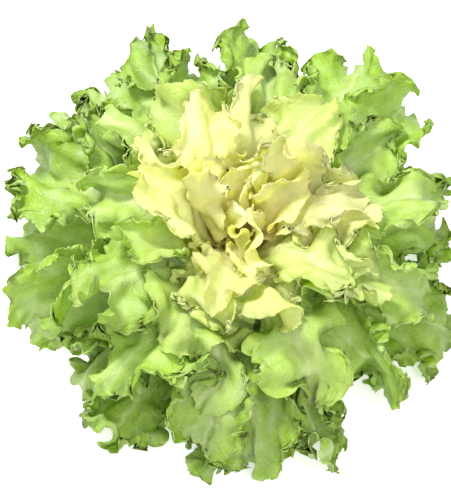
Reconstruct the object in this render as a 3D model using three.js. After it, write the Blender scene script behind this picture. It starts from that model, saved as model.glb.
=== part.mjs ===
// A head of escarole, cut and stood on its stem: a short fleshy stem core with its leaves round it in one spiral.
// Millimetres, +Z up. The origin is the centre of the cut face under the stem, which is the face that the head stands on.
// Each leaf lies on a bowl of its own. The bowls are nested one in the next, steep and narrow for the heart and
// nearly flat for the outermost leaf, so no two leaves meet. A leaf is a thin closed shell: a narrow stalk at the
// stem, a broad fan-shaped blade, and a thick middle that thins to the edge and the tip.
import * as THREE from "three";

// Driving dimensions, in mm and degrees
const CUT_RADIUS = 19; // of the flat cut face under the stem
const STEM_TOP = 54; // height of the tip of the core
const STEM_GAP = 1.5; // leaf bases stay this far out from the core
const BLADE_THICK = 1.0; // at the blade's edge and tip
const RIB_THICK = 0.9; // more than that along the midrib at the stem
const LEAN_X = 0.09; // the head leans a little: sideways shift for each mm of height
const LEAN_Y = -0.12;
const FLOOR_EASE = 34; // how gently the lowest leaves level out above the surface they lie on
const FAR_RISE = 0.0013; // leaves on the +Y side stand higher, on the -Y side lie lower, for each mm of y
const TIP_ROUND = 0.28; // how far the corners of the blade's end draw back
const ALONG = 8; // quads along a leaf
const ACROSS = 4; // quads across it
const WRAP_STALK = 0.7; // radians that half a leaf may wrap round the axis, at the stem
const WRAP_TIP = 1.3; // and at the tip

// name, order in the head (0 the innermost, 1 the outermost), azimuth, length, half width of the blade
const LEAVES = [
  ["heart_leaf_01", 0.0089, 101.5, 84.0, 20.5],
  ["heart_leaf_02", 0.0268, 235.1, 86.0, 23.9],
  ["heart_leaf_03", 0.0446, 18.6, 93.0, 22.0],
  ["heart_leaf_04", 0.0625, 149.6, 97.0, 23.9],
  ["heart_leaf_05", 0.0804, 296.0, 101.0, 26.6],
  ["heart_leaf_06", 0.0982, 65.3, 103.0, 22.5],
  ["heart_leaf_07", 0.1161, 192.8, 110.3, 19.6],
  ["heart_leaf_08", 0.1339, 6.5, 118.9, 23.7],
  ["heart_leaf_09", 0.1518, 124.4, 127.2, 29.1],
  ["heart_leaf_10", 0.1696, 255.5, 112.0, 29.2],
  ["heart_leaf_11", 0.1875, 34.4, 117.8, 28.8],
  ["heart_leaf_12", 0.2054, 174.3, 114.7, 33.1],
  ["inner_leaf_01", 0.2232, 319.4, 133.0, 29.4],
  ["inner_leaf_02", 0.2411, 83.8, 132.3, 27.0],
  ["inner_leaf_03", 0.2589, 245.1, 130.0, 30.7],
  ["inner_leaf_04", 0.2768, 3.9, 121.4, 32.6],
  ["inner_leaf_05", 0.2946, 151.3, 122.6, 24.9],
  ["inner_leaf_06", 0.3125, 283.2, 120.9, 34.7],
  ["inner_leaf_07", 0.3304, 59.6, 126.5, 39.2],
  ["inner_leaf_08", 0.3482, 199.5, 115.5, 28.2],
  ["inner_leaf_09", 0.3661, 326.5, 132.0, 35.4],
  ["inner_leaf_10", 0.3839, 112.3, 130.6, 37.3],
  ["inner_leaf_11", 0.4018, 244.1, 127.7, 41.7],
  ["inner_leaf_12", 0.4196, 38.6, 136.6, 30.2],
  ["middle_leaf_01", 0.4375, 167.7, 142.4, 29.6],
  ["middle_leaf_02", 0.4554, 294.8, 162.9, 34.4],
  ["middle_leaf_03", 0.4732, 77.5, 156.2, 34.5],
  ["middle_leaf_04", 0.4911, 208.3, 153.5, 38.0],
  ["middle_leaf_05", 0.5089, 5.7, 162.2, 31.1],
  ["middle_leaf_06", 0.5268, 131.5, 134.0, 45.1],
  ["middle_leaf_07", 0.5446, 260.5, 138.9, 23.6],
  ["middle_leaf_08", 0.5625, 31.2, 148.6, 32.0],
  ["middle_leaf_09", 0.5804, 204.5, 160.5, 41.7],
  ["middle_leaf_10", 0.5982, 333.8, 162.0, 29.8],
  ["middle_leaf_11", 0.6161, 112.4, 157.3, 34.4],
  ["middle_leaf_12", 0.6339, 235.7, 145.8, 48.8],
  ["middle_leaf_13", 0.6518, 37.1, 182.9, 39.9],
  ["middle_leaf_14", 0.6696, 150.7, 157.5, 35.6],
  ["outer_leaf_01", 0.6875, 263.8, 159.1, 41.5],
  ["outer_leaf_02", 0.7054, 82.3, 172.6, 42.3],
  ["outer_leaf_03", 0.7232, 201.9, 177.7, 43.6],
  ["outer_leaf_04", 0.7411, 316.2, 165.1, 38.1],
  ["outer_leaf_05", 0.7589, 135.6, 167.0, 40.8],
  ["outer_leaf_06", 0.7768, 274.9, 166.7, 44.5],
  ["outer_leaf_07", 0.7946, 53.6, 186.6, 43.3],
  ["outer_leaf_08", 0.8125, 158.6, 179.6, 50.8],
  ["outer_leaf_09", 0.8304, 293.9, 145.1, 41.6],
  ["outer_leaf_10", 0.8482, 115.9, 181.0, 38.6],
  ["outer_leaf_11", 0.8661, 223.3, 145.4, 51.9],
  ["outer_leaf_12", 0.8839, 11.5, 163.5, 49.0],
  ["outer_leaf_13", 0.9018, 143.2, 184.9, 46.5],
  ["outer_leaf_14", 0.9196, 273.8, 153.0, 57.8],
  ["outer_leaf_15", 1.0804, 267.6, 153.5, 35.5],
  ["outer_leaf_16", 0.9554, 174.0, 166.2, 51.6],
  ["outer_leaf_17", 0.9732, 336.4, 170.0, 47.2],
  ["outer_leaf_18", 0.9911, 107.5, 162.5, 56.3],
  ["outer_leaf_19", 1.0089, 298.7, 166.0, 25.7],
  ["outer_leaf_20", 1.0268, 239.5, 160.5, 33.1],
];

// The bowl that a leaf of this order lies on: where it leaves the core, and its slope at the stem and at the tip.
function bowl(q) {
  return {
    r0: 3 + 21 * q ** 0.8,
    z0: 52 - 44 * q,
    a0: 88 - 30 * q - 34 * q * q,
    a1: 55 - 150 * q + 67 * q * q - 14 * q ** 6,
    reach: 83 + 102 * q - 12 * q * q,
  };
}

// Radius and height on that bowl, t mm along it from the core.
function along(q, t) {
  const b = bowl(q), n = 40, dt = t / n;
  let r = b.r0, z = b.z0;
  for (let i = 0; i < n; i++) {
    const a = THREE.MathUtils.degToRad(b.a0 - (b.a0 - b.a1) * (((i + 0.5) * dt) / b.reach) ** 1.4);
    r += dt * Math.cos(a);
    z += dt * Math.sin(a);
  }
  return [r, z];
}

function smooth(x) {
  const s = Math.min(1, Math.max(0, x));
  return s * s * (3 - 2 * s);
}

// Half width of a leaf at u, from 0 at the stem to 1 at the tip.
function halfWidth(u, q, full) {
  const stalk = 8 + 7 * q;
  const w = stalk + (full - stalk) * smooth((u - 0.12) / 0.62);
  return u > 0.72 ? w * (1 - 0.18 * ((u - 0.72) / 0.28) ** 2) : w;
}

// A point of the leaf's middle surface. v runs from -1 to 1 across the leaf.
function onLeaf(leaf, u, v) {
  const [, q, azimuth, length, full] = leaf;
  const t = 1.2 + length * u * (1 - TIP_ROUND * u * u * v * v);
  const [r, bowl] = along(q, t);
  const z = (bowl + Math.sqrt(bowl * bowl + FLOOR_EASE)) / 2;
  const side = (v * halfWidth(u, q, full)) / r;
  const most = WRAP_STALK + (WRAP_TIP - WRAP_STALK) * u;
  const wrap = most * Math.tanh(side / most);
  const a = THREE.MathUtils.degToRad(azimuth) + wrap;
  const x = r * Math.cos(a), y = r * Math.sin(a);
  const h = z * (1 + FAR_RISE * y);
  return new THREE.Vector3(x + LEAN_X * h, y + LEAN_Y * h, h);
}

// The closed shell of one leaf, as a geometry.
function leafGeometry(leaf) {
  const e = 1e-3, across = ACROSS + 1, count = (ALONG + 1) * across;
  const points = new Float32Array(count * 2 * 3);
  for (let i = 0; i <= ALONG; i++) {
    for (let j = 0; j <= ACROSS; j++) {
      const u = i / ALONG, v = (2 * j) / ACROSS - 1;
      const p = onLeaf(leaf, u, v);
      const du = onLeaf(leaf, Math.min(1, u + e), v).sub(onLeaf(leaf, Math.max(0, u - e), v));
      const dv = onLeaf(leaf, u, v + e).sub(onLeaf(leaf, u, v - e));
      const n = new THREE.Vector3().crossVectors(dv, du).normalize(); // towards the outer face
      const half = (BLADE_THICK + RIB_THICK * leaf[1] * (1 - v * v) * (1 - u)) / 2;
      const k = (i * across + j) * 3;
      p.clone().addScaledVector(n, half).toArray(points, k);
      p.clone().addScaledVector(n, -half).toArray(points, count * 3 + k);
    }
  }
  const index = [], at = (i, j) => i * across + j;
  for (let i = 0; i < ALONG; i++) {
    for (let j = 0; j < ACROSS; j++) {
      const a = at(i, j), b = at(i, j + 1), c = at(i + 1, j + 1), d = at(i + 1, j);
      index.push(a, b, c, a, c, d);
      index.push(count + a, count + c, count + b, count + a, count + d, count + c);
    }
  }
  const rim = [];
  for (let j = 0; j < ACROSS; j++) rim.push([at(0, j + 1), at(0, j)]);
  for (let i = 0; i < ALONG; i++) rim.push([at(i, 0), at(i + 1, 0)]);
  for (let j = 0; j < ACROSS; j++) rim.push([at(ALONG, j), at(ALONG, j + 1)]);
  for (let i = ALONG; i > 0; i--) rim.push([at(i, ACROSS), at(i - 1, ACROSS)]);
  for (const [a, b] of rim) index.push(a, b, count + b, a, count + b, count + a);
  const g = new THREE.BufferGeometry();
  g.setAttribute("position", new THREE.BufferAttribute(points, 3));
  g.setIndex(index);
  g.computeVertexNormals();
  return g;
}

// The core: flat cut face, a flare under the lowest leaf, then a cone up to the growing tip.
function stemGeometry() {
  const profile = [new THREE.Vector2(0, 0), new THREE.Vector2(CUT_RADIUS, 0), new THREE.Vector2(CUT_RADIUS + 1.8, 3)];
  for (let i = 10; i >= 0; i--) {
    const b = bowl(i / 10);
    profile.push(new THREE.Vector2(Math.max(1.2, b.r0 - STEM_GAP), b.z0 - 0.6));
  }
  profile.push(new THREE.Vector2(0, STEM_TOP));
  const g = new THREE.LatheGeometry(profile, 28);
  g.rotateX(Math.PI / 2);
  const p = g.getAttribute("position");
  for (let i = 0; i < p.count; i++) {
    const y = p.getY(i), z = p.getZ(i), h = z * (1 + FAR_RISE * y);
    p.setXYZ(i, p.getX(i) + LEAN_X * h, y + LEAN_Y * h, h);
  }
  g.computeVertexNormals();
  return g;
}

const COLOURS = { heart: 0xf0e7a0, inner: 0xdfe396, middle: 0xb4d06c, outer: 0x8db043 };

const escarole = new THREE.Group();
escarole.name = "escarole";
const core = new THREE.Mesh(
  stemGeometry(),
  new THREE.MeshStandardMaterial({ color: 0xece6cf, roughness: 0.6, metalness: 0 }),
);
core.name = "stem_core";
escarole.add(core);
for (const leaf of LEAVES) {
  const colour = COLOURS[leaf[0].split("_")[0]];
  const mesh = new THREE.Mesh(
    leafGeometry(leaf),
    new THREE.MeshStandardMaterial({ color: colour, roughness: 0.5, metalness: 0, side: THREE.DoubleSide }),
  );
  mesh.name = leaf[0];
  escarole.add(mesh);
}

export default escarole;
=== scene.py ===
"""Looks of the escarole head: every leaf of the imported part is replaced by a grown, ruffled leaf.

Each leaf starts on the same nested surface as its CAD solid. Its margin then grows faster than its middle, so the
sheet buckles into folds, while it keeps off its neighbours. The result is resampled into a fine closed shell with a
toothed margin, puckers and a raised midrib. Lengths in the leaf code are millimetres; Blender objects are in metres.
"""
import math

import bpy
import numpy as np
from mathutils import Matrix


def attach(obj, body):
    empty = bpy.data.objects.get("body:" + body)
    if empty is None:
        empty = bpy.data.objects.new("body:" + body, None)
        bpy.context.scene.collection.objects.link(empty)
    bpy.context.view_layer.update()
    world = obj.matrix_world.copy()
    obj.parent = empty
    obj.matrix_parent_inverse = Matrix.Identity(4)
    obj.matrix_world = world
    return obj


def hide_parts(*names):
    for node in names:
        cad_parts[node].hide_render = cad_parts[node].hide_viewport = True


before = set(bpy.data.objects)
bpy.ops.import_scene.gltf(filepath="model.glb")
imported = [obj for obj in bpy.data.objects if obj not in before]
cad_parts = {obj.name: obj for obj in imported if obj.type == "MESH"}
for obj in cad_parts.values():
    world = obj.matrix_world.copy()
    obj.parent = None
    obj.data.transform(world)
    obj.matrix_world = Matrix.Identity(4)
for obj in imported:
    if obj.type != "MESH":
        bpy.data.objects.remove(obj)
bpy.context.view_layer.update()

import time
# name, order in the head (0 innermost, 1 outermost), azimuth in degrees, length and half width in mm, then degrees of
# roll, curl, lean, twist and cup, and 1 for a leaf whose place was read from its flap in the head
LEAVES = [
    ("heart_leaf_01", 0.0089, 101.5, 84.0, 20.5, 13.5, 0.4, -10.9, 48.7, 42.8, 0),
    ("heart_leaf_02", 0.0268, 235.1, 86.0, 23.9, -4.7, -13.9, 12.7, 36.9, 58.7, 0),
    ("heart_leaf_03", 0.0446, 18.6, 93.0, 22.0, 8.3, 11.4, -2.0, -52.5, 42.2, 0),
    ("heart_leaf_04", 0.0625, 149.6, 97.0, 23.9, -5.9, 13.5, -6.3, -25.5, 42.5, 0),
    ("heart_leaf_05", 0.0804, 296.0, 101.0, 26.6, -3.7, 13.0, -13.7, -59.0, 76.0, 0),
    ("heart_leaf_06", 0.0982, 65.3, 103.0, 22.5, -9.7, -19.2, -4.5, 55.9, 66.7, 0),
    ("heart_leaf_07", 0.1161, 192.8, 110.3, 19.6, -55.0, -69.9, -36.7, -65.0, 53.1, 1),
    ("heart_leaf_08", 0.1339, 6.5, 118.9, 23.7, 39.4, 80.0, -1.0, 34.7, -34.8, 1),
    ("heart_leaf_09", 0.1518, 124.4, 127.2, 29.1, 53.4, 6.7, -25.1, -0.3, 67.6, 1),
    ("heart_leaf_10", 0.1696, 255.5, 112.0, 29.2, 5.2, -31.7, 5.7, 6.4, -33.0, 1),
    ("heart_leaf_11", 0.1875, 34.4, 117.8, 28.8, -47.3, -65.8, 4.3, -65.0, -35.0, 1),
    ("heart_leaf_12", 0.2054, 174.3, 114.7, 33.1, 8.5, -26.0, -13.0, -9.5, 36.5, 0),
    ("inner_leaf_01", 0.2232, 319.4, 133.0, 29.4, 39.2, 79.3, 22.7, 30.8, -35.0, 1),
    ("inner_leaf_02", 0.2411, 83.8, 132.3, 27.0, 39.9, 41.7, 14.4, -50.2, -9.6, 1),
    ("inner_leaf_03", 0.2589, 245.1, 130.0, 30.7, 45.7, 80.0, 8.3, -29.2, -33.2, 1),
    ("inner_leaf_04", 0.2768, 3.9, 121.4, 32.6, 12.1, 21.7, -8.8, -25.6, 17.9, 0),
    ("inner_leaf_05", 0.2946, 151.3, 122.6, 24.9, 39.0, 65.9, -27.9, -31.2, -35.0, 1),
    ("inner_leaf_06", 0.3125, 283.2, 120.9, 34.7, -7.8, 38.4, 15.7, 24.3, -9.1, 0),
    ("inner_leaf_07", 0.3304, 59.6, 126.5, 39.2, 13.5, -28.6, -14.6, 16.1, 9.0, 0),
    ("inner_leaf_08", 0.3482, 199.5, 115.5, 28.2, -0.9, -69.7, -5.4, -4.2, 85.0, 1),
    ("inner_leaf_09", 0.3661, 326.5, 132.0, 35.4, 15.1, 32.0, 5.6, 8.0, 62.2, 0),
    ("inner_leaf_10", 0.3839, 112.3, 130.6, 37.3, 15.3, -27.4, 19.4, -5.5, 6.6, 0),
    ("inner_leaf_11", 0.4018, 244.1, 127.7, 41.7, 16.8, 52.7, 10.9, 17.6, -19.1, 0),
    ("inner_leaf_12", 0.4196, 38.6, 136.6, 30.2, 4.8, 80.0, 38.0, 49.5, 5.7, 1),
    ("middle_leaf_01", 0.4375, 167.7, 142.4, 29.6, 50.5, 16.0, -3.3, 35.8, 52.2, 1),
    ("middle_leaf_02", 0.4554, 294.8, 162.9, 34.4, 39.0, 75.1, -8.1, 6.5, -35.0, 1),
    ("middle_leaf_03", 0.4732, 77.5, 156.2, 34.5, 45.7, 0.5, 11.0, 1.1, 67.2, 1),
    ("middle_leaf_04", 0.4911, 208.3, 153.5, 38.0, -29.3, -67.8, 23.3, -14.7, -33.1, 1),
    ("middle_leaf_05", 0.5089, 5.7, 162.2, 31.1, -9.1, 78.4, 8.4, 36.2, -35.0, 1),
    ("middle_leaf_06", 0.5268, 131.5, 134.0, 45.1, -6.9, 43.1, 19.9, -17.5, 48.5, 0),
    ("middle_leaf_07", 0.5446, 260.5, 138.9, 23.6, 37.3, 80.0, 4.3, 8.9, -34.3, 1),
    ("middle_leaf_08", 0.5625, 31.2, 148.6, 32.0, 21.1, 30.4, 2.7, -24.0, 85.0, 1),
    ("middle_leaf_09", 0.5804, 204.5, 160.5, 41.7, 52.9, 21.2, 10.8, 62.8, 77.6, 1),
    ("middle_leaf_10", 0.5982, 333.8, 162.0, 29.8, 35.9, 30.3, 21.9, -19.3, 85.0, 1),
    ("middle_leaf_11", 0.6161, 112.4, 156.9, 34.4, 17.5, -9.0, -21.1, -11.7, 85.0, 1),
    ("middle_leaf_12", 0.6339, 235.7, 145.1, 48.8, -13.5, 37.3, -5.7, -33.8, -4.2, 0),
    ("middle_leaf_13", 0.6518, 37.1, 181.5, 39.9, 3.6, 15.1, 11.7, -24.5, 85.0, 1),
    ("middle_leaf_14", 0.6696, 150.7, 155.9, 35.6, 1.8, 59.1, -29.5, -17.5, 85.0, 1),
    ("outer_leaf_01", 0.6875, 263.8, 157.0, 41.5, 44.4, 64.4, -5.3, -1.9, 85.0, 1),
    ("outer_leaf_02", 0.7054, 82.3, 169.9, 42.3, -2.6, 12.1, 13.5, -11.3, 84.4, 1),
    ("outer_leaf_03", 0.7232, 201.9, 165.7, 43.6, 30.0, 33.1, -3.6, 39.8, 65.7, 1),
    ("outer_leaf_04", 0.7411, 316.2, 161.6, 38.1, 35.9, 63.6, -2.3, -64.7, 50.1, 1),
    ("outer_leaf_05", 0.7589, 135.6, 163.0, 40.8, 3.3, 29.1, -21.8, 0.7, 85.0, 1),
    ("outer_leaf_06", 0.7768, 274.9, 152.6, 44.5, 43.4, 55.0, 2.8, 13.9, 85.0, 1),
    ("outer_leaf_07", 0.7946, 53.6, 181.2, 43.3, 0.2, 2.2, 16.3, 9.0, 72.7, 1),
    ("outer_leaf_08", 0.8125, 158.6, 170.4, 50.8, 7.6, -9.0, -22.3, 18.0, 77.0, 1),
    ("outer_leaf_09", 0.8304, 293.9, 140.1, 41.6, 47.2, 63.5, -6.5, -40.9, 65.6, 1),
    ("outer_leaf_10", 0.8482, 115.9, 174.3, 38.6, -25.7, 20.5, -16.2, 26.8, 85.0, 1),
    ("outer_leaf_11", 0.8661, 223.3, 139.6, 51.9, 19.8, 79.6, -4.2, -50.9, -21.7, 1),
    ("outer_leaf_12", 0.8839, 11.5, 156.5, 49.0, 20.2, 25.9, 13.9, -39.2, 80.0, 1),
    ("outer_leaf_13", 0.9018, 143.2, 176.5, 46.5, 2.0, 25.4, -25.9, 2.5, 82.2, 1),
    ("outer_leaf_14", 0.9196, 273.8, 141.3, 57.8, 4.7, 12.5, 7.5, -12.1, 33.7, 0),
    ("outer_leaf_15", 1.0804, 267.6, 131.0, 35.5, 7.1, 80.0, -7.5, -65.0, 46.8, 1),
    ("outer_leaf_16", 0.9554, 174.0, 147.9, 51.6, 13.5, 26.5, -20.9, 42.4, 79.1, 1),
    ("outer_leaf_17", 0.9732, 336.4, 160.5, 47.2, 12.4, 64.2, 26.9, -12.0, 62.7, 1),
    ("outer_leaf_18", 0.9911, 107.5, 153.0, 56.3, -3.0, 39.1, -19.7, 7.1, 32.9, 0),
    ("outer_leaf_19", 1.0089, 298.7, 155.8, 25.7, -21.3, -70.0, -24.9, 23.6, -10.9, 1),
    ("outer_leaf_20", 1.0268, 239.5, 150.2, 33.1, -40.4, -66.3, -0.1, -1.9, -33.7, 1),
]


F = np.float32
TIP_ROUND = 0.28
LEAN_X, LEAN_Y, FAR_RISE = 0.09, -0.12, 0.0013
WRAP_STALK, WRAP_TIP = 0.7, 1.3
FLOOR_EASE = 34.0


def smooth(x):
    s = np.clip(x, 0.0, 1.0)
    return s * s * (3 - 2 * s)


def along(q, t):
    """Radius and height on the bowl of order q, t mm along it from the core."""
    r0, z0 = 3 + 21 * q**0.8, 52 - 44 * q
    a0, a1 = 88 - 30 * q - 34 * q * q, 55 - 150 * q + 67 * q * q - 14 * q**6
    reach = 83 + 102 * q - 12 * q * q
    top = float(np.max(t)) * 1.001 + 1e-6
    n = 160
    dt = top / n
    mid = (np.arange(n) + 0.5) * dt
    a = np.radians(a0 - (a0 - a1) * (mid / reach) ** 1.4)
    g = np.arange(n + 1) * dt
    r = np.concatenate([[r0], r0 + np.cumsum(dt * np.cos(a))])
    z = np.concatenate([[z0], z0 + np.cumsum(dt * np.sin(a))])
    return np.interp(t, g, r), np.interp(t, g, z)


def half_width(u, q, full):
    stalk = 8 + 7 * q
    w = stalk + (full - stalk) * smooth((u - 0.12) / 0.62)
    return np.where(u > 0.72, w * (1 - 0.18 * (np.clip(u - 0.72, 0, 1) / 0.28) ** 2), w)


def on_leaf(leaf, u, v):
    _, q, azimuth, length, full = leaf[:5]
    t = 1.2 + length * u * (1 - TIP_ROUND * u * u * v * v)
    r, z = along(q, t)
    side = v * half_width(u, q, full) / r
    most = WRAP_STALK + (WRAP_TIP - WRAP_STALK) * u
    a = math.radians(azimuth) + most * np.tanh(side / most)
    x, y = r * np.cos(a), r * np.sin(a)
    z = 0.5 * (z + np.sqrt(z * z + FLOOR_EASE))
    h = z * (1 + FAR_RISE * y)
    return np.stack([x + LEAN_X * h, y + LEAN_Y * h, h])


def pose(leaf, o, u, v):
    """The leaf as it would lie on its own: the midline rolls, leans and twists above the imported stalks, the sides cup."""
    _, q, azimuth, length, full = leaf[:5]
    m = 81
    um = np.linspace(0, 1, m)
    zero = np.zeros(m)
    c = on_leaf(leaf, um, zero)
    t = np.gradient(c, axis=1)
    step = np.linalg.norm(t, axis=0)
    t = t / step
    s = on_leaf(leaf, um, zero + 0.05) - on_leaf(leaf, um, zero - 0.05)
    s = s / np.linalg.norm(s, axis=0)
    n = np.cross(s, t, axis=0)
    n = n / np.linalg.norm(n, axis=0)
    r = np.radians(o["roll"]) * smooth((um - 0.3) / 0.7) + np.radians(o["curl"]) * smooth((um - 0.72) / 0.28)
    t1 = t * np.cos(r) + n * np.sin(r)
    l = np.radians(o["lean"]) * smooth((um - 0.3) / 0.6)
    t2 = t1 * np.cos(l) + s * np.sin(l)
    s2 = s * np.cos(l) - t1 * np.sin(l)
    n2 = np.cross(s2, t2, axis=0)
    th = np.radians(o["twist"]) * smooth((um - 0.28) / 0.55)
    s3 = s2 * np.cos(th) + n2 * np.sin(th)
    n3 = n2 * np.cos(th) - s2 * np.sin(th)
    inc = t2 * step
    c2 = c[:, :1] + np.concatenate([np.zeros((3, 1)), np.cumsum(0.5 * (inc[:, 1:] + inc[:, :-1]), 1)], 1)
    ue = u * (1 - TIP_ROUND * u * u * v * v)
    at = lambda a: np.stack([np.interp(ue, um, a[i]) for i in range(3)])
    C, S, N = at(c2), at(s3), at(n3)
    x = v * half_width(u, q, full) * (1 - 0.10 * smooth((u - 0.3) / 0.4))
    b = np.radians(o["cup"]) * smooth((u - 0.2) / 0.4) + 1e-3
    bend = b * v
    arc = x / np.where(np.abs(bend) < 1e-4, 1e-4, bend)
    P = C + S * (arc * np.sin(bend)) - N * (arc * (1 - np.cos(bend)))
    nn = N * np.cos(bend) + S * np.sin(bend)
    return P, nn


def pair_up(P, cell, active, uid, iu, iv):
    """Pairs of particles nearer than about one cell, of different leaves or far apart on one leaf."""
    n = P.shape[1]
    ijk = np.floor(P / cell).astype(np.int64)
    ijk -= ijk.min(1, keepdims=True) - 2
    K1 = int(ijk[1].max()) + 4
    K2 = int(ijk[2].max()) + 4
    key = (ijk[0] * K1 + ijk[1]) * K2 + ijk[2]
    order = np.argsort(key, kind="stable")
    sk = key[order]
    out_i, out_j = [], []
    ar = np.arange(n)
    for dx in (0, 1):
        for dy in (-1, 0, 1):
            for dz in (-1, 0, 1):
                if (dx, dy, dz) < (0, 0, 0):
                    continue
                off = (dx * K1 + dy) * K2 + dz
                k2 = sk + off
                s = np.searchsorted(sk, k2, "left")
                e = np.searchsorted(sk, k2, "right")
                if off == 0:
                    s = ar + 1
                c = np.maximum(e - s, 0)
                tot = int(c.sum())
                if not tot:
                    continue
                i = np.repeat(ar, c)
                j = np.arange(tot) - np.repeat(np.cumsum(c) - c, c) + np.repeat(s, c)
                i, j = order[i], order[j]
                keep = (uid[i] != uid[j]) | (np.abs(iu[i] - iu[j]) + np.abs(iv[i] - iv[j]) > 6)
                out_i.append(i[keep])
                out_j.append(j[keep])
    return np.concatenate(out_i), np.concatenate(out_j)


def grow(leaves, opt, nu=48, nv=31, iters=600, seed=3, stiff=0.05, log=None):
    """Grows the leaves' edges until they ruffle. Returns positions (leaf, 3, nu, nv)."""
    rng = np.random.default_rng(seed)
    n = len(leaves)
    u = np.linspace(0, 1, nu)[:, None] * np.ones((1, nv))
    v = np.linspace(-1, 1, nv)[None, :] * np.ones((nu, 1))
    X = np.zeros((3, nu, nv, n))
    T = np.zeros((3, nu, nv, n))
    flat = np.zeros((2, nu, nv, n))
    G = np.zeros((2, nu, nv, n))
    for k, lf in enumerate(leaves):
        _, q, az, L, W = lf[:5]
        o = opt[k]
        base = on_leaf(lf, u, v)
        X[..., k] = base
        w = half_width(u, q, W)
        flat[0, ..., k] = v * w
        flat[1, ..., k] = L * u * (1 - TIP_ROUND * u * u * v * v)
        # normal of the base surface, towards the outer face
        du = np.gradient(base, axis=1)
        dv = np.gradient(base, axis=2)
        nrm = np.cross(dv, du, axis=0)
        nrm /= np.linalg.norm(nrm, axis=0, keepdims=True) + 1e-9
        # growth along the margin: lengthwise at the sides, across at the tip
        from_side = w * (1 - np.abs(v))
        from_tip = L * (1 - u)
        strip = o["strip"]
        gs = 0.85 * np.exp(-((from_side / strip) ** 1.5)) + 0.15 * np.exp(-((from_side / (3.2 * strip)) ** 2))
        gt = 0.85 * np.exp(-((from_tip / (1.25 * strip)) ** 1.5)) + 0.15 * np.exp(-((from_tip / (3.6 * strip)) ** 2))
        G[0, ..., k] = o["grow"] * gs * (1 - 0.85 * gt) * smooth((u - 0.25) / 0.3)
        G[1, ..., k] = o["grow"] * gt * (1 - 0.5 * gs)
        # creases fan out from the middle of the blade towards the edge
        cx, cy = flat[0, ..., k], flat[1, ..., k] - 0.38 * L
        psi = np.arctan2(cx, np.maximum(cy, -0.25 * L) + 1e-6)
        rad = np.sqrt(cx**2 + cy**2) / (0.55 * L)
        amp = smooth((rad - 0.25) / 0.8) * smooth((u - 0.2) / 0.3)
        s = np.zeros_like(u)
        for h in range(4):
            nn = o["waves"] * (0.55 + 0.35 * h) * rng.uniform(0.85, 1.15)
            s += rng.normal() * np.sin(nn * psi + rng.uniform(0, 6.28)) / (1 + 0.3 * h)
        s += 0.5 * rng.normal() * np.sin(3 * psi + rng.uniform(0, 6.28))
        free, fn = pose(lf, o, u, v)
        blend = smooth((u - 0.26) / 0.3)
        T[..., k] = base + (free - base) * blend + (nrm * (1 - blend) + fn * blend) * (o["seed_amp"] * amp * s)
    X = X.astype(F)
    T = T.astype(F)
    B0 = X.copy()

    def rest(di, dj):
        a = flat[:, : nu - di, max(0, -dj) : nv - max(0, dj)]
        b = flat[:, di:, max(0, dj) : nv + min(0, dj)]
        g = G[1] if di == 0 else G[0] if dj == 0 else 0.5 * (G[0] + G[1])
        ga = g[: nu - di, max(0, -dj) : nv - max(0, dj)]
        gb = g[di:, max(0, dj) : nv + min(0, dj)]
        return np.sqrt(((b - a) ** 2).sum(0)).astype(F), (0.5 * (ga + gb)).astype(F)

    sets = []  # (slice a, slice b, rest, growth, stiffness, only push)

    def add(di, dj, k, push=0.0):
        r, g = rest(di, dj)
        rows = np.arange(nu - di)
        if di == 0:
            # across: colour by column
            step = dj
            cols = np.arange(nv - dj)
            for c in range(2):
                if step == 1:
                    ca = slice(c, nv - 1, 2)
                    sets.append(((slice(None), slice(None), slice(c, nv - 1, 2)), (slice(None), slice(None), slice(c + 1, nv, 2)), r[:, c::2], g[:, c::2], k, push))
            return
        if di == 1:
            for c in range(2):
                ra = slice(c, nu - 1, 2)
                rb = slice(c + 1, nu, 2)
                if dj == 0:
                    a, b = slice(None), slice(None)
                elif dj == 1:
                    a, b = slice(0, nv - 1), slice(1, nv)
                else:
                    a, b = slice(1, nv), slice(0, nv - 1)
                sets.append(((slice(None), ra, a), (slice(None), rb, b), r[c::2], g[c::2], k, push))

    add(1, 0, 0.9)
    add(0, 1, 0.9)
    add(1, 1, 0.35)
    add(1, -1, 0.35)
    ru1, gu1 = rest(1, 0)
    rv1, gv1 = rest(0, 1)
    bend = []
    soft = np.array([1 - 0.30 * lf[1] ** 1.5 for lf in leaves], F)
    loose = np.array([1 - 0.65 * lf[1] for lf in leaves], F)
    for span, keep in ((2, 0.95), (4, 0.80)):
        keep = F(keep) * (soft if span == 4 else 1 - 0.25 * (1 - soft))
        ru = sum(ru1[i : nu - 1 - (span - 1) + i] for i in range(span))
        gu = sum(gu1[i : nu - 1 - (span - 1) + i] for i in range(span)) / span
        rv = sum(rv1[:, i : nv - 1 - (span - 1) + i] for i in range(span))
        gv = sum(gv1[:, i : nv - 1 - (span - 1) + i] for i in range(span)) / span
        for c in range(2 * span):
            bend.append(((slice(None), slice(c, nu - span, 2 * span)), (slice(None), slice(c + span, nu, 2 * span)), keep * ru[c :: 2 * span], gu[c :: 2 * span]))
            bend.append(((slice(None), slice(None), slice(c, nv - span, 2 * span)), (slice(None), slice(None), slice(c + span, nv, 2 * span)), keep * rv[:, c :: 2 * span], gv[:, c :: 2 * span]))

    uu = u[..., None].astype(F)
    vv = np.abs(v)[..., None].astype(F)
    anchor = (0.30 * (1 - smooth((uu - 0.05) / 0.25)) + 0.012 * (1 - smooth((uu - 0.3) / 0.7)) * (1 - vv**2) + 0.012 * (1 - 0.85 * np.maximum(vv**2, smooth((uu - 0.6) / 0.4)))).astype(F)
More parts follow.
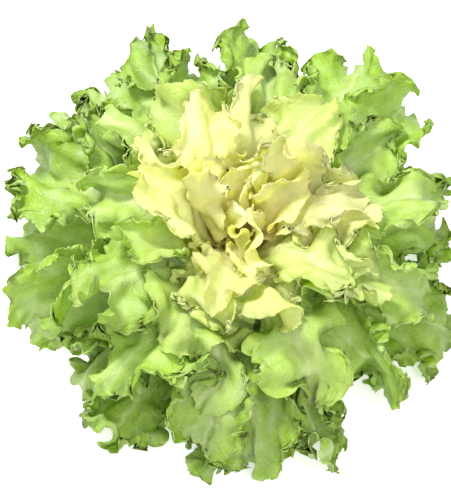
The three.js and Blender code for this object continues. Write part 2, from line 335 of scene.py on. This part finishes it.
    # collision set-up
    par = (np.arange(nu)[:, None] + np.arange(nv)[None, :]) % 2 == 0
    rim = (np.abs(v) > 0.62) | (u > 0.8)
    act_mask = ((u > 0.3) & (par | (rim & (u > 0.45))))[..., None] & np.ones((1, 1, n), bool)
    idx = np.nonzero(act_mask.ravel())[0]
    gi, gj, gk = np.unravel_index(idx, (nu, nv, n))
    d0 = F(opt[0].get("gap", 4.2))
    Xp = X.copy()
    pi = pj = None
    tpairs = 0.0
    t0 = time.time()
    nm = nu * nv * n
    for it in range(iters):
        ramp = min(1.0, it / (0.55 * iters))
        tr = min(1.0, it / (0.35 * iters))
        damp = F(0.90 if it < 0.8 * iters else 0.6)
        vel = X - Xp
        np.clip(vel, -1.2, 1.2, out=vel)
        Xp = X.copy()
        X += damp * vel
        X[2] -= F(0.004)
        kb = F(0.10)
        for a, b, r, g, k, push in sets:
            A, B = X[a], X[b]
            D = B - A
            Ln = np.sqrt(D[0] * D[0] + D[1] * D[1] + D[2] * D[2]) + F(1e-6)
            D *= (F(0.5 * k) * (Ln - r * (1 + F(ramp) * g)) / Ln)[None]
            A += D
            B -= D
        for a, b, r, g in bend:
            A, B = X[a], X[b]
            D = B - A
            Ln = np.sqrt(D[0] * D[0] + D[1] * D[1] + D[2] * D[2]) + F(1e-6)
            C = Ln - r * (1 + F(ramp) * g)
            np.minimum(C, 0, out=C)
            D *= (F(0.5) * kb * C / Ln)[None]
            A += D
            B -= D
        D = X - B0
        S = D[:, 2:] - 2 * D[:, 1:-1] + D[:, :-2]
        S *= F(stiff) * loose
        X[:, 2:] -= S
        X[:, 1:-1] += 2 * S
        X[:, :-2] -= S
        S = D[:, :, 2:] - 2 * D[:, :, 1:-1] + D[:, :, :-2]
        S *= F(stiff) * loose
        X[:, :, 2:] -= S
        X[:, :, 1:-1] += 2 * S
        X[:, :, :-2] -= S
        X += anchor[None] * ((B0 + F(tr) * (T - B0)) - X)
        # collisions
        P = X.reshape(3, -1)
        if it % 12 == 0:
            t1 = time.time()
            Q = P[:, idx]
            i, j = pair_up(Q, 5.6, None, gk, gi, gj)
            d = Q[:, i] - Q[:, j]
            dd = (d * d).sum(0)
            ok = dd < (1.33 * d0) ** 2
            same = gk[i] == gk[j]
            pi, pj = idx[i[ok]], idx[j[ok]]
            lim = np.where(same[ok], d0 * F(0.75), d0).astype(F)
            tpairs += time.time() - t1
        if pi is not None and len(pi):
            d = P[:, pi] - P[:, pj]
            ln = np.sqrt((d * d).sum(0)) + F(1e-6)
            pen = np.minimum(ln - lim, 0)
            hit = pen < 0
            if hit.any():
                ii, jj = pi[hit], pj[hit]
                c = d[:, hit] * (F(-0.30) * pen[hit] / ln[hit])
                for a in range(3):
                    P[a] += (np.bincount(ii, c[a], nm) - np.bincount(jj, c[a], nm)).astype(F)
        X = P.reshape(3, nu, nv, n)
        np.maximum(X[2], F(0.9), out=X[2])
        if log and it % log == 0:
            print(it, "t", round(time.time() - t0, 1), "pairs", 0 if pi is None else len(pi), "tp", round(tpairs, 1), "zmax", round(float(X[2].max()), 1), flush=True)
    return X



def spline(f):
    """Weights of a uniform cubic B-spline's four control points at f in 0..1, and their slopes."""
    w = np.stack([(1 - f) ** 3, 3 * f**3 - 6 * f**2 + 4, -3 * f**3 + 3 * f**2 + 3 * f + 1, f**3]) / 6.0
    d = np.stack([-((1 - f) ** 2), 3 * f**2 - 4 * f, -3 * f**2 + 2 * f + 1, f**2]) / 2.0
    return w, d


def on_grid(grid, u, v):
    """Points and unit normals of the smooth surface through a grid (3, nu, nv), at flat arrays u in 0..1 and v in -1..1."""
    _, nu, nv = grid.shape
    g = np.concatenate([2 * grid[:, :1] - grid[:, 1:2], grid, 2 * grid[:, -1:] - grid[:, -2:-1]], 1)
    g = np.concatenate([2 * g[:, :, :1] - g[:, :, 1:2], g, 2 * g[:, :, -1:] - g[:, :, -2:-1]], 2)
    fu = np.clip(u, 0, 1) * (nu - 1)
    fv = (np.clip(v, -1, 1) + 1) / 2 * (nv - 1)
    iu = np.clip(np.floor(fu).astype(int), 0, nu - 2)
    iv = np.clip(np.floor(fv).astype(int), 0, nv - 2)
    (bu, du), (bv, dv) = spline(fu - iu), spline(fv - iv)
    P, Pu, Pv = np.zeros((3, len(u))), np.zeros((3, len(u))), np.zeros((3, len(u)))
    for a in range(4):
        for b in range(4):
            c = g[:, iu + a, iv + b]
            P += c * (bu[a] * bv[b])
            Pu += c * (du[a] * bv[b])
            Pv += c * (bu[a] * dv[b])
    n = np.cross(Pv, Pu, axis=0)
    n /= np.linalg.norm(n, axis=0, keepdims=True) + 1e-9
    return P, n


def notches(s, rng, lo, hi, deep, skew=1.0, power=0.8, few=0.35):
    """Depth of the cut at each place s (mm) along an edge: sharp tips with a scallop between each two."""
    marks = [-rng.uniform(0, hi)]
    while marks[-1] < s.max() + hi:
        marks.append(marks[-1] + rng.uniform(lo, hi))
    marks = np.array(marks)
    depth = rng.uniform(few, 1.0, len(marks)) * deep
    k = np.clip(np.searchsorted(marks, s, "right") - 1, 0, len(marks) - 2)
    f = ((s - marks[k]) / (marks[k + 1] - marks[k])) ** skew
    return depth[k] * (4 * f * (1 - f)) ** power


def incisions(s, rng, lo, hi, deep, wide):
    """Depth of narrow cuts between rounded lobes at each place s (mm) along an edge."""
    at, out = rng.uniform(0, hi), np.zeros_like(s)
    while at < s.max() + hi:
        d = rng.uniform(0.2, 1.0)
        out += d * deep * np.exp(-(np.abs(s - at) / (wide * rng.uniform(0.7, 1.4))) ** 1.3)
        at += rng.uniform(lo, hi)
    return out


def layout(nu, nv, sub):
    """Points (row, column in grid units) and faces of one leaf: a grid inside, and a finer hem round its free margin."""
    R, C = nu - 1, nv - 1
    ids, pts, faces = {}, [], []

    def add(r, c, h):
        pts.append((r, c, h))
        return len(pts) - 1

    grid = np.array([[add(r, c, 0.0) for c in range(1, C)] for r in range(0, R)])  # inner rows 0..R-1, columns 1..C-1
    for r in range(R - 1):
        for c in range(C - 2):
            faces.append((grid[r, c], grid[r, c + 1], grid[r + 1, c + 1], grid[r + 1, c]))
    # the inner loop runs up one side, across the tip and down the other
    loop = [(r, 1) for r in range(0, R)] + [(R - 1, c) for c in range(2, C)] + [(r, C - 1) for r in range(R - 2, -1, -1)]
    edge = [(r, 0) for r in range(0, R)] + [(R, c) for c in range(2, C)] + [(r, C) for r in range(R - 2, -1, -1)]
    # corners: the loop's corner points meet the margin's corners
    edge[R - 1] = (R, 0)
    edge[R - 1 + C - 2] = (R, C)
    inner = [grid[r, c - 1] for r, c in loop]
    rows = []
    for h in (0.42, 0.74, 1.0):
        row = []
        for k in range(len(loop) - 1):
            for j in range(sub):
                f = j / sub
                a = np.array(loop[k]) * (1 - f) + np.array(loop[k + 1]) * f
                b = np.array(edge[k]) * (1 - f) + np.array(edge[k + 1]) * f
                p = a * (1 - h) + b * h
                row.append(add(p[0], p[1], h))
        p = np.array(loop[-1]) * (1 - h) + np.array(edge[-1]) * h
        row.append(add(p[0], p[1], h))
        rows.append(row)
    half = sub // 2
    for k in range(len(loop) - 1):
        a0, a1 = inner[k], inner[k + 1]
        b = rows[0][k * sub : k * sub + sub + 1]
        for j in range(sub):
            faces.append((a0 if j < half else a1, b[j + 1], b[j]))
        faces.append((a0, a1, b[half]))
    for lo, hi in ((rows[0], rows[1]), (rows[1], rows[2])):
        for j in range(len(lo) - 1):
            faces.append((lo[j], lo[j + 1], hi[j + 1], hi[j]))
    rim = rows[2]
    base = [rows[2][-1], rows[1][-1], rows[0][-1]] + [grid[0, c] for c in range(C - 2, -1, -1)] + [rows[0][0], rows[1][0], rows[2][0]]
    closed = rim + base[1:-1]
    return np.array(pts), faces, np.array(closed), np.array(rim)


def fine_leaf(leaf, grid, plan, seed, o):
    """The finished shell of one leaf: vertices of its two faces, and what the material needs at each."""
    rng = np.random.default_rng(seed)
    _, q, az, L, W = leaf[:5]
    (nu, nv), (pts, faces, closed, rim) = plan
    ru, rc, h = pts[:, 0] / (nu - 1), pts[:, 1] / (nv - 1) * 2 - 1, pts[:, 2]
    u = ru**0.9
    v = rc.copy()
    # place along the grown margin, for the teeth
    P, _ = on_grid(grid, u[rim], v[rim])
    s_rim = np.concatenate([[0], np.cumsum(np.linalg.norm(np.diff(P, axis=1), axis=0))])
    # every point's place along the margin comes from the angle round the leaf
    key_rim = np.arctan2(v[rim] * 1.0, (u[rim] - 0.35) * 1.6)
    key = np.arctan2(v, (u - 0.35) * 1.6)
    order = np.argsort(key_rim)
    s = np.interp(key, key_rim[order], s_rim[order])
    s[rim] = s_rim
    t = o["tooth"]
    lobes = incisions(s, rng, 14, 36, 5.0 * t, 3.0) + notches(s, rng, 8, 18, 1.5 * t, skew=1.2)
    fine = notches(s, rng, 2.4, 5.4, 1.9 * t, skew=1.35, power=0.7, few=0.2) + notches(s, rng, 1.4, 3.0, 0.5 * t)
    free = smooth((u - 0.2) / 0.2)
    near_v, near_u = smooth((np.abs(v) - 0.4) / 0.6), smooth((u - 0.66) / 0.34)
    hem = h**1.5
    w = half_width(u, q, W)
    v2 = v * (1 - free * (lobes * near_v + fine * hem * (np.abs(v) > 0.9)) / w)
    u2 = u * (1 - (lobes * near_u + fine * hem * (u > 0.9)) / L)
    P, n = on_grid(grid, u2, v2)
    fx, fy = v2 * half_width(u2, q, W), L * u2 * (1 - TIP_ROUND * u2 * u2 * v2 * v2)
    edge = 1 - (1 - smooth((np.abs(v) - 0.5) / 0.5) * smooth((u - 0.2) / 0.3)) * (1 - smooth((u - 0.7) / 0.3))
    fr = np.zeros_like(u)
    for _ in range(5):
        lam = rng.uniform(11, 23)
        swing = 1 + 0.6 * np.sin(2 * math.pi * s / rng.uniform(50, 110) + rng.uniform(0, 6.28))
        fr += np.sin(2 * math.pi * s / lam + rng.uniform(0, 6.28)) * rng.uniform(0.4, 1) * swing
    pk = np.zeros_like(u)
    for _ in range(8):
        lam = rng.uniform(13, 30)
        ang = rng.uniform(0, math.pi)
        pk += np.sin(2 * math.pi * (fx * math.cos(ang) + fy * math.sin(ang)) / lam + rng.uniform(0, 6.28))
    blade = smooth((u - 0.3) / 0.3)
    # creases that fan out from the midrib to the margin
    cy = fy - 0.3 * L
    psi = np.arctan2(fx, np.maximum(cy, -0.25 * L) + 1e-6)
    rad = np.sqrt(fx**2 + cy**2) / (0.6 * L)
    fan = np.zeros_like(u)
    for _ in range(5):
        a = rng.uniform(8, 22) * psi + rng.uniform(0, 6.28) + 0.8 * np.sin(rng.uniform(3, 8) * rad + rng.uniform(0, 6.28))
        fan += rng.uniform(0.4, 1) * (0.4 * np.sin(a) + 0.6 * 2 / math.pi * np.arcsin(np.sin(a)))
    P = P + n * (o["frill"] * 0.25 * fr * edge**1.8 + o["pucker"] * 0.16 * pk * blade + o["fan"] * fan * blade * smooth((rad - 0.1) / 0.7))
    rib_w = (4.0 + 6.0 * q) * (1 - u) ** 0.9 + 1.3
    rib = np.exp(-((fx / rib_w) ** 2))
    thick = (0.6 + (1.5 + 1.9 * q) * (1 - u) ** 1.1 * rib + 0.5 * (1 - u) * (1 - smooth((u - 0.1) / 0.4))) * (1 - 0.5 * edge)
    P[2] = np.maximum(P[2], 0.25 + 0.65 * thick)  # nothing reaches into the floor
    out, inn = P + n * (0.62 * thick), P - n * (0.38 * thick)
    return dict(out=out, inn=inn, u=u2, v=v2, fx=fx, fy=fy, edge=edge, rib=rib, h=h, s=s)


def shell(plan, m):
    """Corner lists of the closed shell: outer face, inner face and rim."""
    _, (pts, faces, closed, rim) = plan
    back = [tuple(i + m for i in reversed(f)) for f in faces]
    nxt = np.roll(closed, -1)
    side = [(int(a), int(b), int(b) + m, int(a) + m) for a, b in zip(closed, nxt)]
    every = [tuple(int(i) for i in f) for f in faces] + [tuple(int(i) for i in f) for f in back] + side
    return np.concatenate([np.array(f, np.int32) for f in every]), np.array([len(f) for f in every], np.int32)



FOLDED = ("middle_leaf_02", "middle_leaf_07", "middle_leaf_12", "outer_leaf_09", "inner_leaf_01")  # the most ruffled leaves


def leaf_options(rows):
    """How much each leaf grows, and how it stands: degrees of roll and curl outwards, lean and twist to a side, and cup of its sides."""
    out = []
    for name, q, azimuth, length, half, roll, curl, lean, twist, cup, hero in rows:
        out.append(dict(grow=(0.85 + 0.05 * q) * (1.25 if name in FOLDED else 1), strip=9.5 + 3 * q, waves=12 + 8 * q, seed_amp=9 - 3 * q, roll=roll, curl=curl, lean=lean, twist=twist, cup=cup))
    return out


# ---------------------------------------------------------------- leaves

X = grow(LEAVES, leaf_options(LEAVES), iters=420)


def srgb(r, g, b):
    c = np.array([r, g, b], float) / 255
    return np.where(c <= 0.04045, c / 12.92, ((c + 0.055) / 1.055) ** 2.4)


# colours of the blade's middle and margin by order in the head
ORDERS = np.array([0.0, 0.12, 0.24, 0.33, 0.45, 0.62, 0.82, 1.0])
MIDDLE = np.array([srgb(253, 250, 216), srgb(253, 250, 218), srgb(242, 244, 184), srgb(222, 236, 148), srgb(205, 228, 124), srgb(190, 219, 102), srgb(182, 211, 82), srgb(182, 211, 76)])
MARGIN = np.array([srgb(253, 249, 204), srgb(253, 250, 214), srgb(242, 244, 176), srgb(219, 235, 136), srgb(198, 224, 106), srgb(180, 212, 80), srgb(163, 198, 58), srgb(158, 193, 48)])
STALK = np.array([srgb(240, 236, 176), srgb(244, 242, 194), srgb(242, 244, 200), srgb(240, 244, 200), srgb(232, 240, 188), srgb(222, 234, 168), srgb(212, 226, 150), srgb(206, 222, 144)])


def row_of(table, q):
    return np.array([np.interp(q, ORDERS, table[:, c]) for c in range(3)])


def tint(leaf, part, rng):
    q = float(np.clip(leaf[1] + rng.uniform(-0.07, 0.07), 0, 1))
    u, v, fx, fy = part["u"], part["v"], part["fx"], part["fy"]
    m = (1 - (1 - smooth((np.abs(v) - 0.1) / 0.9) * smooth((u - 0.15) / 0.4)) * (1 - smooth((u - 0.4) / 0.6)))[..., None]
    s = (np.exp(-((fx / (5.0 + 7 * q)) ** 2)) * (1 - u) ** 0.8 + 0.9 * (1 - smooth((u - 0.05) / 0.35)))[..., None]
    c = row_of(MIDDLE, q) * (1 - m) + row_of(MARGIN, q) * m
    s = np.clip(s, 0, 1)
    c = c * (1 - s) + row_of(STALK, q) * s
    # the heart is deep yellow low down, and paler towards its tips
    deep = (max(0.0, 1 - q / 0.42) * (1 - smooth((u - 0.25) / 0.6)))[..., None]
    c = c * (1 - 0.7 * deep) + srgb(243, 230, 118) * (0.7 * deep)
    blot = np.zeros_like(u)
    for h in range(6):
        lam = rng.uniform(14, 50)
        a = rng.uniform(0, math.pi)
        blot += np.sin(2 * math.pi * (fx * math.cos(a) + fy * math.sin(a)) / lam + rng.uniform(0, 6.28))
    blot = blot[..., None] / 6
    c = c * (1 + blot * np.array([0.10, 0.05, 0.16]))
    c = c * (1 + rng.uniform(-0.06, 0.06))
    # a thin pale line runs along the toothed edge: a painted highlight on the margin
    rim = (0.6 * part["h"] ** 3)[..., None]
    c = c * (1 - rim) + (0.4 * c + 0.6 * srgb(240, 246, 196)) * rim
    return np.clip(c, 0, 1)


def make_object(name, part, colours, plan):
    m = len(part["u"])
    co = np.concatenate([part["out"], part["inn"]], 1).T / 1000.0
    corners, sizes = shell(plan, m)
    me = bpy.data.meshes.new(name)
    me.vertices.add(len(co))
    me.vertices.foreach_set("co", co.astype(np.float32).ravel())
    me.loops.add(len(corners))
    me.loops.foreach_set("vertex_index", corners)
    me.polygons.add(len(sizes))
    me.polygons.foreach_set("loop_start", np.concatenate([[0], np.cumsum(sizes)[:-1]]).astype(np.int32))
    smooth_faces = np.ones(len(sizes), dtype=bool)
    smooth_faces[-len(plan[1][2]) :] = False  # the thin rim has its own normals
    me.polygons.foreach_set("use_smooth", smooth_faces)
    me.update(calc_edges=True)
    at = me.attributes.new("leaf_tint", "FLOAT_COLOR", "POINT")
    rgba = np.ones((2 * m, 4), np.float32)
    rgba[:m, :3] = colours
    rgba[m:, :3] = colours
    at.data.foreach_set("color", rgba.ravel())
    uv = me.uv_layers.new(name="leaf_uv")
    flat = np.stack([part["fx"], part["fy"]], 1) / 100.0
    uv.data.foreach_set("uv", np.concatenate([flat, flat])[corners].astype(np.float32).ravel())
    ob = bpy.data.objects.new(name, me)
    bpy.context.scene.collection.objects.link(ob)
    return ob


class Nodes:
    """Short ways to add and join shader nodes."""

    def __init__(self, mat):
        mat.use_nodes = True
        self.nt = mat.node_tree
        self.nt.nodes.clear()

    def new(self, kind, **set_):
        n = self.nt.nodes.new(kind)
        for k, v in set_.items():
            setattr(n, k, v)
        return n

    def join(self, a, b):
        self.nt.links.new(a, b)

    def math(self, op, a, b=None, c=None, clamp=False):
        n = self.new("ShaderNodeMath", operation=op, use_clamp=clamp)
        for i, x in enumerate((a, b, c)):
            if x is None:
                continue
            if isinstance(x, (int, float)):
                n.inputs[i].default_value = x
            else:
                self.join(x, n.inputs[i])
        return n.outputs[0]

    def ramp(self, fac, stops):
        n = self.new("ShaderNodeValToRGB")
        e = n.color_ramp.elements
        while len(e) < len(stops):
            e.new(0.5)
        for el, (p, c) in zip(e, stops):
            el.position, el.color = p, (*c, 1)
        self.join(fac, n.inputs[0])
        return n.outputs[0]

    def multiply(self, a, b, how=1.0, blend="MULTIPLY"):
        n = self.new("ShaderNodeMix", data_type="RGBA", blend_type=blend)
        if isinstance(how, float):
            n.inputs["Factor"].default_value = how
        else:
            self.join(how, n.inputs["Factor"])
        for x, i in ((a, "A"), (b, "B")):
            if isinstance(x, tuple):
                n.inputs[i].default_value = (*x, 1)
            else:
                self.join(x, n.inputs[i])
        return n.outputs["Result"]


def leaf_material(name, veins, gloss, through, blue):
    """A waxy leaf: its tint from the mesh, pale branching veins with puffed cells between them, light coming through."""
    mat = bpy.data.materials.new(name)
    g = Nodes(mat)
    out = g.new("ShaderNodeOutputMaterial")
    tint_ = g.new("ShaderNodeAttribute", attribute_name="leaf_tint").outputs["Color"]
    uv = g.new("ShaderNodeUVMap", uv_map="leaf_uv").outputs[0]
    noise = g.new("ShaderNodeTexNoise")
    noise.inputs["Scale"].default_value = 7.0
    noise.inputs["Detail"].default_value = 3.0
    g.join(uv, noise.inputs["Vector"])
    wob = g.new("ShaderNodeVectorMath", operation="MULTIPLY_ADD")
    wob.inputs[1].default_value = (0.075, 0.075, 0.0)
    g.join(noise.outputs["Color"], wob.inputs[0])
    g.join(uv, wob.inputs[2])
    sep = g.new("ShaderNodeSeparateXYZ")
    g.join(wob.outputs[0], sep.inputs[0])
    x = g.math("ABSOLUTE", g.math("SUBTRACT", sep.outputs[0], 0.0375))
    # side veins leave the midrib at a slant and fan out; x and y are in tenths of a metre
    slant = g.math("SUBTRACT", sep.outputs[1], g.math("MULTIPLY", g.math("POWER", x, 0.85), 0.95))
    wave = g.math("ABSOLUTE", g.math("SINE", g.math("MULTIPLY", slant, 3.14159 / 0.105)))
    side = g.math("SUBTRACT", 1.0, g.math("MULTIPLY", wave, 6.5, clamp=True), clamp=True)
    rib = g.math("SUBTRACT", 1.0, g.math("MULTIPLY", x, 38.0, clamp=True), clamp=True)
    cells = g.new("ShaderNodeTexVoronoi", feature="DISTANCE_TO_EDGE")
    cells.inputs["Scale"].default_value = 15.0
    g.join(wob.outputs[0], cells.inputs["Vector"])
    small = g.new("ShaderNodeTexVoronoi", feature="DISTANCE_TO_EDGE")
    small.inputs["Scale"].default_value = 42.0
    g.join(wob.outputs[0], small.inputs["Vector"])
    net = g.math("SUBTRACT", 1.0, g.math("MULTIPLY", cells.outputs["Distance"], 14.0, clamp=True), clamp=True)
    fine = g.math("SUBTRACT", 1.0, g.math("MULTIPLY", small.outputs["Distance"], 9.0, clamp=True), clamp=True)
    vein = g.math("MAXIMUM", g.math("MULTIPLY", side, 0.85), g.math("MAXIMUM", rib, g.math("MAXIMUM", g.math("MULTIPLY", net, 0.34), g.math("MULTIPLY", fine, 0.20))))
    veiny = g.math("MULTIPLY", vein, veins)
    mott = g.new("ShaderNodeTexNoise")
    mott.inputs["Scale"].default_value = 16.0
    mott.inputs["Detail"].default_value = 5.0
    mott.inputs["Roughness"].default_value = 0.65
    g.join(uv, mott.inputs["Vector"])
    mot = g.ramp(mott.outputs["Fac"], [(0.3, (1 - 0.4 * veins, 1 - 0.24 * veins, 1 - 0.75 * veins)), (0.7, (1.04, 1.03, 1.08))])
    # painted highlight: broad pale mint patches, laid out at random by a noise and screened over the tint
    wide = g.new("ShaderNodeTexNoise")
    wide.inputs["Scale"].default_value = 5.0
    wide.inputs["Detail"].default_value = 2.0
    g.join(uv, wide.inputs["Vector"])
    pale = g.math("MULTIPLY", g.math("SUBTRACT", wide.outputs["Fac"], 0.46, clamp=True), 1.6, clamp=True)
    base = g.multiply(g.multiply(g.multiply(tint_, mot), (0.50, 0.56, 0.46), pale, "SCREEN"), (0.80, 0.84, 0.56), veiny, "SCREEN")
    pr = g.new("ShaderNodeBsdfPrincipled")
    g.join(base, pr.inputs["Base Color"])
    rough = g.math("MULTIPLY_ADD", mott.outputs["Fac"], 0.22, gloss)
    g.join(rough, pr.inputs["Roughness"])
    pr.inputs["Specular IOR Level"].default_value = 0.38
    puff = g.math("ADD", g.math("MULTIPLY", g.math("SQRT", cells.outputs["Distance"]), 1.0), g.math("ADD", g.math("MULTIPLY", small.outputs["Distance"], 0.9), g.math("MULTIPLY", side, -0.35)))
    bump = g.new("ShaderNodeBump")
    bump.inputs["Strength"].default_value = 0.5
    bump.inputs["Distance"].default_value = 0.0003 + 0.0016 * veins
    g.join(puff, bump.inputs["Height"])
    g.join(bump.outputs[0], pr.inputs["Normal"])
    tr = g.new("ShaderNodeBsdfTranslucent")
    g.join(g.multiply(base, (1.0, 1.0, blue)), tr.inputs["Color"])
    g.join(bump.outputs[0], tr.inputs["Normal"])
    mix = g.new("ShaderNodeMixShader")
    mix.inputs[0].default_value = through
    g.join(pr.outputs[0], mix.inputs[1])
    g.join(tr.outputs[0], mix.inputs[2])
    g.join(mix.outputs[0], out.inputs["Surface"])
    return mat


GROUPS = ("heart_leaf", "inner_leaf", "middle_leaf", "outer_leaf")
mats = {
    "heart_leaf": leaf_material("escarole_heart", 0.20, 0.36, 0.60, 0.56),
    "inner_leaf": leaf_material("escarole_inner", 0.27, 0.33, 0.52, 0.52),
    "middle_leaf": leaf_material("escarole_middle", 0.36, 0.30, 0.44, 0.42),
    "outer_leaf": leaf_material("escarole_outer", 0.44, 0.27, 0.38, 0.36),
}
PLANS = {g: (size, layout(*size, 4)) for g, size in {"heart_leaf": (44, 26), "inner_leaf": (52, 32), "middle_leaf": (58, 36), "outer_leaf": (62, 38)}.items()}
for k, leaf in enumerate(LEAVES):
    group = leaf[0][:-3]
    q = leaf[1]
    o = dict(tooth=1.3 + 0.3 * q, frill=3.0 + 7.0 * q, pucker=1.2 + 2.4 * q, fan=(0.5 + 1.3 * q) * (1.7 if leaf[0] in FOLDED else 1))
    part = fine_leaf(leaf, X[..., k].astype(float), PLANS[group], 500 + k, o)
    ob = make_object(leaf[0] + "_blade", part, tint(leaf, part, np.random.default_rng(900 + k)), PLANS[group])
    ob.data.materials.append(mats[group])
    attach(ob, "root")
    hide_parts(leaf[0])

# ---------------------------------------------------------------- stem core
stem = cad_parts["stem_core"]
sm = bpy.data.materials.new("escarole_stem")
sm.use_nodes = True
snt = sm.node_tree
sp = snt.nodes["Principled BSDF"]
sn = snt.nodes.new("ShaderNodeTexNoise")
sn.inputs["Scale"].default_value = 160.0
sr = snt.nodes.new("ShaderNodeValToRGB")
sr.color_ramp.elements[0].color = (0.62, 0.56, 0.30, 1)
sr.color_ramp.elements[1].color = (0.82, 0.80, 0.55, 1)
snt.links.new(sn.outputs["Fac"], sr.inputs[0])
snt.links.new(sr.outputs[0], sp.inputs["Base Color"])
sp.inputs["Roughness"].default_value = 0.55
stem.data.materials.clear()
stem.data.materials.append(sm)

# ---------------------------------------------------------------- floor, lights, camera
fm = bpy.data.meshes.new("floor")
R = 3.0
fm.from_pydata([(-R, -R, 0), (R, -R, 0), (R, R, 0), (-R, R, 0)], [], [(0, 1, 2, 3)])
floor = bpy.data.objects.new("floor", fm)
bpy.context.scene.collection.objects.link(floor)
flm = bpy.data.materials.new("pale_floor")
flm.use_nodes = True
flm.node_tree.nodes["Principled BSDF"].inputs["Base Color"].default_value = (0.93, 0.93, 0.92, 1)
flm.node_tree.nodes["Principled BSDF"].inputs["Roughness"].default_value = 0.8
flm.node_tree.nodes["Principled BSDF"].inputs["Emission Color"].default_value = (1, 1, 1, 1)
flm.node_tree.nodes["Principled BSDF"].inputs["Emission Strength"].default_value = 0.44
fm.materials.append(flm)

world = bpy.data.worlds.new("studio")
bpy.context.scene.world = world
world.use_nodes = True
world.node_tree.nodes["Background"].inputs[0].default_value = (1.0, 1.0, 1.0, 1)
world.node_tree.nodes["Background"].inputs[1].default_value = 0.57


def area(name, at, aim, size, watts, colour=(1, 1, 1)):
    d = bpy.data.lights.new(name, "AREA")
    d.shape = "DISK"
    d.size = size
    d.energy = watts
    d.color = colour
    o = bpy.data.objects.new(name, d)
    from mathutils import Vector
    o.location = at
    o.rotation_mode = "QUATERNION"
    o.rotation_quaternion = (Vector(aim) - Vector(at)).to_track_quat("-Z", "Y")
    bpy.context.scene.collection.objects.link(o)
    return o


area("key", (-0.55, 0.45, 1.55), (0, 0, 0.05), 0.45, 34)
area("fill", (0.35, -0.9, 1.45), (0, 0, 0.05), 0.9, 15)

ELEV = 60.0
TARGET = (-0.001, 0.023, 0.0)
DIST = 1.03
cam_data = bpy.data.cameras.new("camera")
cam_data.lens = 104.0
cam_data.sensor_width = 36.0
cam = bpy.data.objects.new("camera", cam_data)
from mathutils import Vector
e = math.radians(ELEV)
back = Vector((0, -math.cos(e), math.sin(e)))
cam.location = Vector(TARGET) + back * DIST
cam.rotation_mode = "QUATERNION"
cam.rotation_quaternion = (-back).to_track_quat("-Z", "Y")
bpy.context.scene.collection.objects.link(cam)
bpy.context.scene.camera = cam
bpy.context.scene.view_settings.view_transform = "Standard"
bpy.context.scene.view_settings.look = "None"
